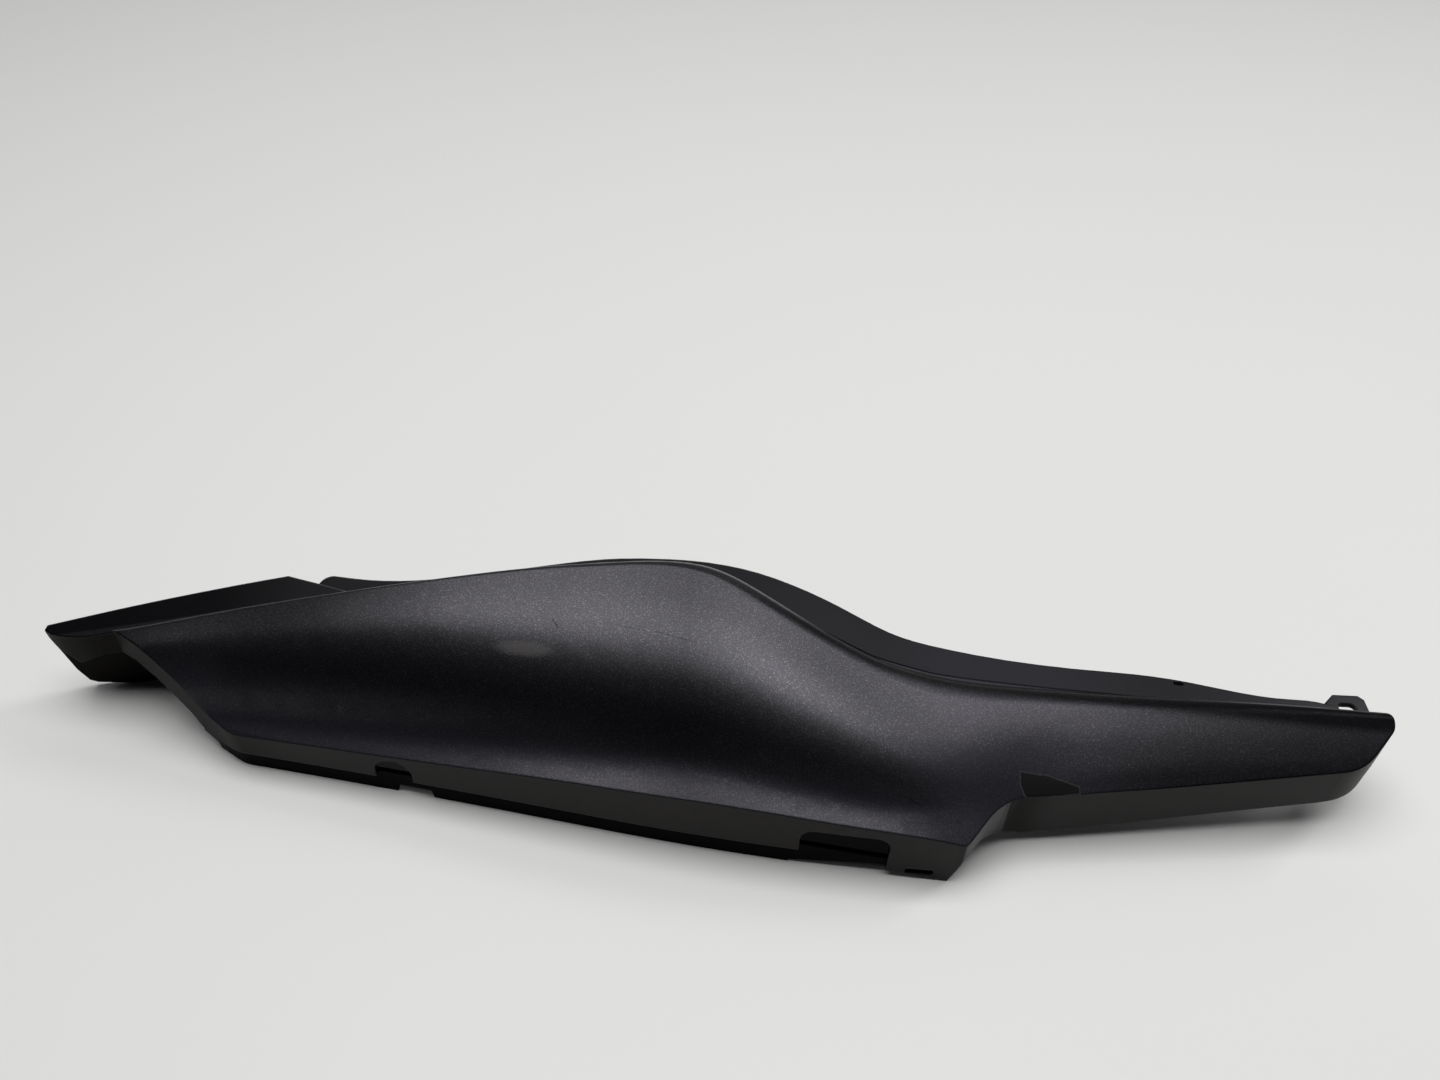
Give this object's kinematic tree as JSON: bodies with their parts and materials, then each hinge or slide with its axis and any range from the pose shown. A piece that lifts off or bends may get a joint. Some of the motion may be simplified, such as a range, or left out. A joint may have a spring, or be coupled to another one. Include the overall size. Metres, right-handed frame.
{
  "type": "motorcycle side fairing",
  "caption": "Long hollow rear side fairing with a swept graphite skin, a stepped seat flange, a hooked tail arm and a clip edge along its lower wall.",
  "frame": {"origin": "middle of the panel's length and width, on the plane it rests on", "axes": "+X to the front of the motorcycle along the panel, +Y to the seat side, +Z out of the motorcycle, up as the panel lies"},
  "size_m": [0.686, 0.1248, 0.0963],
  "materials": {
    "graphite_plastic": "matt graphite-black paint over black plastic"
  },
  "bodies": {
    "root": {"rear_side_fairing": "graphite_plastic"}
  },
  "joints": []
}
